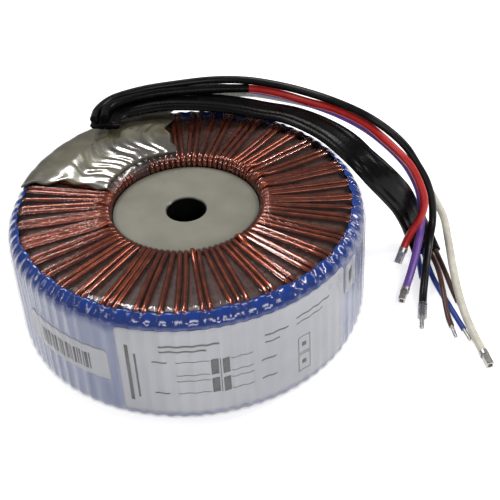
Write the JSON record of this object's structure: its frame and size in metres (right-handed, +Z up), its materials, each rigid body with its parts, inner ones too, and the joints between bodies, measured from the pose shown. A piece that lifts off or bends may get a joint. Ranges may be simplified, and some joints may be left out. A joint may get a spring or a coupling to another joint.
{
  "type": "toroidal transformer",
  "caption": "Potted ring-core mains transformer, copper windings under clear film, blue outer band, bolt hole through the filled centre, flat sleeve and flying leads.",
  "frame": {"origin": "on the resting face, at the centre of the bolt hole", "axes": "+Z up along the bolt hole; the rating label faces -Y; the leads run off the rear left and over the +X side"},
  "size_m": [0.1546, 0.1233, 0.0549],
  "materials": {
    "core_steel": "satin",
    "inner_film": "gloss",
    "copper_fine": "satin",
    "copper_wire": "gloss",
    "band_blue": "gloss",
    "label_silver": "satin",
    "label_white": "satin",
    "film_clear": "gloss",
    "resin": "matt",
    "padding": "matt",
    "cutout_black": "matt",
    "sleeve_black": "satin",
    "lead_black": "satin",
    "lead_red": "satin",
    "lead_violet": "satin",
    "lead_white": "satin",
    "lead_brown": "satin",
    "lead_blue": "satin",
    "tinned": "satin",
    "tube_clear": "gloss"
  },
  "bodies": {
    "root": {"core": "core_steel", "core_film_wrap": "inner_film", "primary_1": "copper_fine", "primary_2": "copper_fine", "inter_wrap": "inner_film", "secondary_1": "copper_wire", "secondary_2": "copper_wire", "thermal_cutouts": "cutout_black", "blue_band": "band_blue", "rating_label": "label_silver", "bar_label": "label_white", "small_label": "label_white", "clear_wrap": "film_clear", "potting": "resin", "lead_pad": "padding", "pad_film": "film_clear", "primary_sleeve": "sleeve_black", "lead_black": "lead_black", "lead_red": "lead_red", "lead_violet": "lead_violet", "lead_white": "lead_white", "lead_brown_1": "lead_brown", "lead_brown_2": "lead_brown", "lead_blue_1": "lead_blue", "lead_blue_2": "lead_blue", "ferrule_red": "tinned", "ferrule_violet": "tinned", "ferrule_white": "tinned", "clear_tube": "tube_clear", "tinned_tip_black": "tinned", "tinned_tips": "tinned"}
  },
  "joints": []
}
